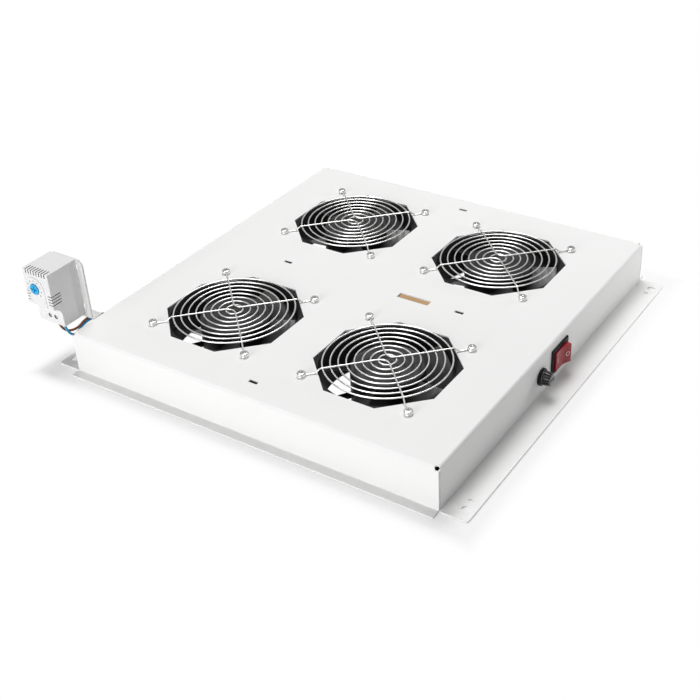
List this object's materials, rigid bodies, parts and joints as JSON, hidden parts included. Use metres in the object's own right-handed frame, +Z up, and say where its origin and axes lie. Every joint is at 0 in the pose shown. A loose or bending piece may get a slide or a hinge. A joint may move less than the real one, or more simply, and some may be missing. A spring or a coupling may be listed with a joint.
{
  "type": "rack fan tray",
  "caption": "Bent sheet-metal fan tray for a rack's roof, with axial fans under wire finger guards, a rocker switch, a fuse holder and a thermostat on a bracket.",
  "frame": {"origin": "centre of the rectangle of the large flange holes, on the undersides of the flanges", "axes": "+Z up along the fans' axes; -Y out of the wall with the rocker switch; +X along that wall, away from the thermostat's end"},
  "size_m": [0.418, 0.446, 0.1015],
  "materials": {
    "tray_paint": "satin light grey powder coat",
    "fan_frame_black": "matt black paint on die-cast aluminium",
    "rotor_black": "matt moulded plastic",
    "guard_wire": "bright nickel plate",
    "screw_steel": "bright zinc plate",
    "steel": "plain steel",
    "lamination": "dull laminated steel",
    "copper": "enamelled winding wire",
    "bronze": "sintered bronze",
    "brass": "plain brass",
    "black_plastic": "fine-textured black plastic",
    "red_plastic": "glossy red plastic",
    "glass": "clear glass",
    "thermostat_grey": "matt light grey plastic",
    "dial_blue": "matt blue plastic",
    "bracket_zinc": "satin light grey powder coat",
    "brown_wire": "smooth brown insulation",
    "blue_wire": "smooth blue insulation",
    "rubber": "black rubber",
    "board": "tan resin-bonded paper",
    "strip": "ivory moulded plastic"
  },
  "bodies": {
    "tray": {"board_nuts": "screw_steel", "board_studs": "steel", "bracket_nuts": "screw_steel", "bracket_screws": "screw_steel", "cable_tie": "strip", "earth_nuts": "brass", "earth_stud": "brass", "fan_bearings": "bronze", "fan_frame_1": "fan_frame_black", "fan_frame_2": "fan_frame_black", "fan_frame_3": "fan_frame_black", "fan_frame_4": "fan_frame_black", "finger_guard_1": "guard_wire", "finger_guard_2": "guard_wire", "finger_guard_3": "guard_wire", "finger_guard_4": "guard_wire", "fuse_holder": "black_plastic", "fuse_holder_nut": "black_plastic", "fuse_tags": "brass", "guard_nuts": "screw_steel", "guard_screws": "screw_steel", "lead_blue": "blue_wire", "lead_brown": "brown_wire", "lead_grommet": "rubber", "mains_bush": "black_plastic", "stator_coils": "copper", "stator_cores": "lamination", "strip_screws": "screw_steel", "strip_tubes": "brass", "switch_housing": "black_plastic", "switch_terminals": "brass", "terminal_board": "board", "terminal_strip": "strip", "thermostat_base": "thermostat_grey", "thermostat_bracket": "bracket_zinc", "thermostat_clamps": "brass", "thermostat_cover": "thermostat_grey", "thermostat_screws": "screw_steel", "tray": "tray_paint"},
    "rotor_1": {"fan_rotor_1": "rotor_black", "rotor_shaft_1": "steel", "rotor_ring_1": "steel"},
    "rotor_2": {"fan_rotor_2": "rotor_black", "rotor_shaft_2": "steel", "rotor_ring_2": "steel"},
    "rotor_3": {"fan_rotor_3": "rotor_black", "rotor_shaft_3": "steel", "rotor_ring_3": "steel"},
    "rotor_4": {"fan_rotor_4": "rotor_black", "rotor_shaft_4": "steel", "rotor_ring_4": "steel"},
    "rocker": {"switch_rocker": "red_plastic"},
    "dial": {"thermostat_dial": "dial_blue"},
    "fuse": {"fuse_glass": "glass", "fuse_end_caps": "brass"},
    "cap": {"fuse_cap": "black_plastic"}
  },
  "joints": [
    {"name": "fan_1_spin", "type": "hinge", "parent": "tray", "child": "rotor_1", "pos_m": [-0.1, -0.0825, 0.02], "axis": [0, 0, 1], "continuous": true},
    {"name": "fan_2_spin", "type": "hinge", "parent": "tray", "child": "rotor_2", "pos_m": [0.1, -0.0825, 0.02], "axis": [0, 0, 1], "continuous": true},
    {"name": "fan_3_spin", "type": "hinge", "parent": "tray", "child": "rotor_3", "pos_m": [-0.1, 0.0825, 0.02], "axis": [0, 0, 1], "continuous": true},
    {"name": "fan_4_spin", "type": "hinge", "parent": "tray", "child": "rotor_4", "pos_m": [0.1, 0.0825, 0.02], "axis": [0, 0, 1], "continuous": true},
    {"name": "rocker_tilt", "type": "hinge", "parent": "tray", "child": "rocker", "pos_m": [0.0095, -0.1885, 0.0215], "axis": [0, 0, 1], "range_deg": [0, 20]},
    {"name": "dial_turn", "type": "hinge", "parent": "tray", "child": "dial", "pos_m": [-0.2079, 0.2182, 0.083], "axis": [1, 0, 0], "range_deg": [-135, 135]},
    {"name": "fuse_slide", "type": "slide", "parent": "tray", "child": "fuse", "axis": [0, -1, 0], "range_m": [0, 0.03]},
    {"name": "fuse_cap_turn", "type": "hinge", "parent": "fuse", "child": "cap", "pos_m": [-0.0255, -0.1925, 0.02], "axis": [0, -1, 0], "range_deg": [0, 60]}
  ]
}
